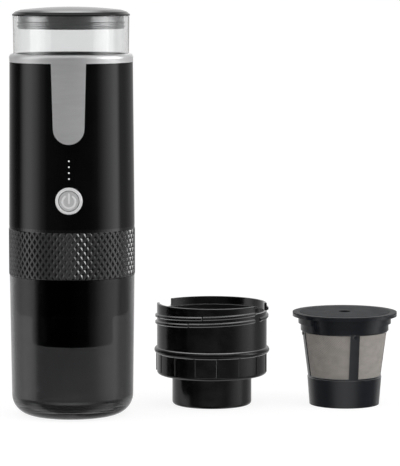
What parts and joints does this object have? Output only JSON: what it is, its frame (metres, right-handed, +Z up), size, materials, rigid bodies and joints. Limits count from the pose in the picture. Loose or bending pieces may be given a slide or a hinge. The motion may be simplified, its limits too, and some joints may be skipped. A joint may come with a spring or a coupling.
{
  "type": "portable espresso maker",
  "caption": "Portable espresso maker: upright black casing with a clear tank above and a smoked cup below, a threaded pod holder, and a refillable mesh basket beside it.",
  "frame": {"origin": "centre of the cup's base on the table, on the machine's axis", "axes": "+Z up along the machine's axis, -Y to the front with the button, +X to the pieces that stand beside the machine"},
  "size_m": [0.1932, 0.0901, 0.2006],
  "materials": {
    "black_gloss": "gloss",
    "black_satin": "satin",
    "grip_black": "matte diamond net",
    "smoked_clear": "clear smoked",
    "clear": "clear",
    "silver": "satin silver",
    "steel": "brushed",
    "silicone": "matte",
    "inner_plastic": "matte",
    "cell_wrap": "satin wrap",
    "motor_can": "satin",
    "board_green": "satin",
    "lamp_white": "milky",
    "basket_black": "satin",
    "basket_grey": "satin"
  },
  "bodies": {
    "cup": {"cup": "smoked_clear"},
    "machine": {"grip_ring": "grip_black", "brew_head": "black_satin", "brew_needle": "steel", "brew_gasket": "silicone", "inner_frame": "inner_plastic", "frame_screws": "steel", "pump_head": "inner_plastic", "motor": "motor_can", "battery_cells": "cell_wrap", "control_board": "board_green", "tact_switch": "inner_plastic", "charge_socket": "steel", "led_lenses": "lamp_white", "button_bezel": "silver", "body_shell": "black_gloss", "collar_trim": "silver", "water_tank": "clear", "tank_seal": "silicone", "inlet_strainer": "steel", "intake_hose": "silicone"},
    "rotor": {"motor_shaft": "steel", "eccentric_wheel": "inner_plastic"},
    "button": {"power_button": "silver"},
    "lid": {"lid_cap": "black_satin", "lid_seals": "silicone"},
    "holder_carrier": {"holder_needle": "steel"},
    "holder": {"pod_holder": "black_satin"},
    "spare": {"spare_holder": "black_satin", "spare_needle": "steel"},
    "basket": {"basket_frame": "basket_black", "basket_mesh": "steel"},
    "basket_cover": {"basket_lid": "basket_grey"}
  },
  "joints": [
    {"name": "machine_lift", "type": "slide", "parent": "cup", "child": "machine", "axis": [0, 0, 1], "range_m": [0, 0.075]},
    {"name": "lid_lift", "type": "slide", "parent": "machine", "child": "lid", "axis": [0, 0, 1], "range_m": [0, 0.03]},
    {"name": "button_press", "type": "slide", "parent": "machine", "child": "button", "axis": [0, 1, 0], "range_m": [0, 0.0008], "stiffness_N_per_m": 400},
    {"name": "rotor_spin", "type": "hinge", "parent": "machine", "child": "rotor", "pos_m": [0, 0.009, 0.1], "axis": [0, 0, 1], "continuous": true},
    {"name": "holder_drop", "type": "slide", "parent": "machine", "child": "holder_carrier", "axis": [0, 0, -1], "range_m": [0, 0.0034]},
    {"name": "holder_turn", "type": "hinge", "parent": "holder_carrier", "child": "holder", "pos_m": [0, 0, 0.06], "axis": [0, 0, -1], "range_deg": [0, 180]},
    {"name": "spare_lift", "type": "slide", "parent": "cup", "child": "spare", "axis": [0, 0, 1], "range_m": [0, 0.06]},
    {"name": "basket_lift", "type": "slide", "parent": "cup", "child": "basket", "axis": [0, 0, 1], "range_m": [0, 0.06]},
    {"name": "basket_lid_lift", "type": "slide", "parent": "basket", "child": "basket_cover", "axis": [0, 0, 1], "range_m": [0, 0.02]}
  ],
  "couplings": [
    {"joint": "holder_turn", "follows": "holder_drop", "rad_per_m": 924}
  ]
}
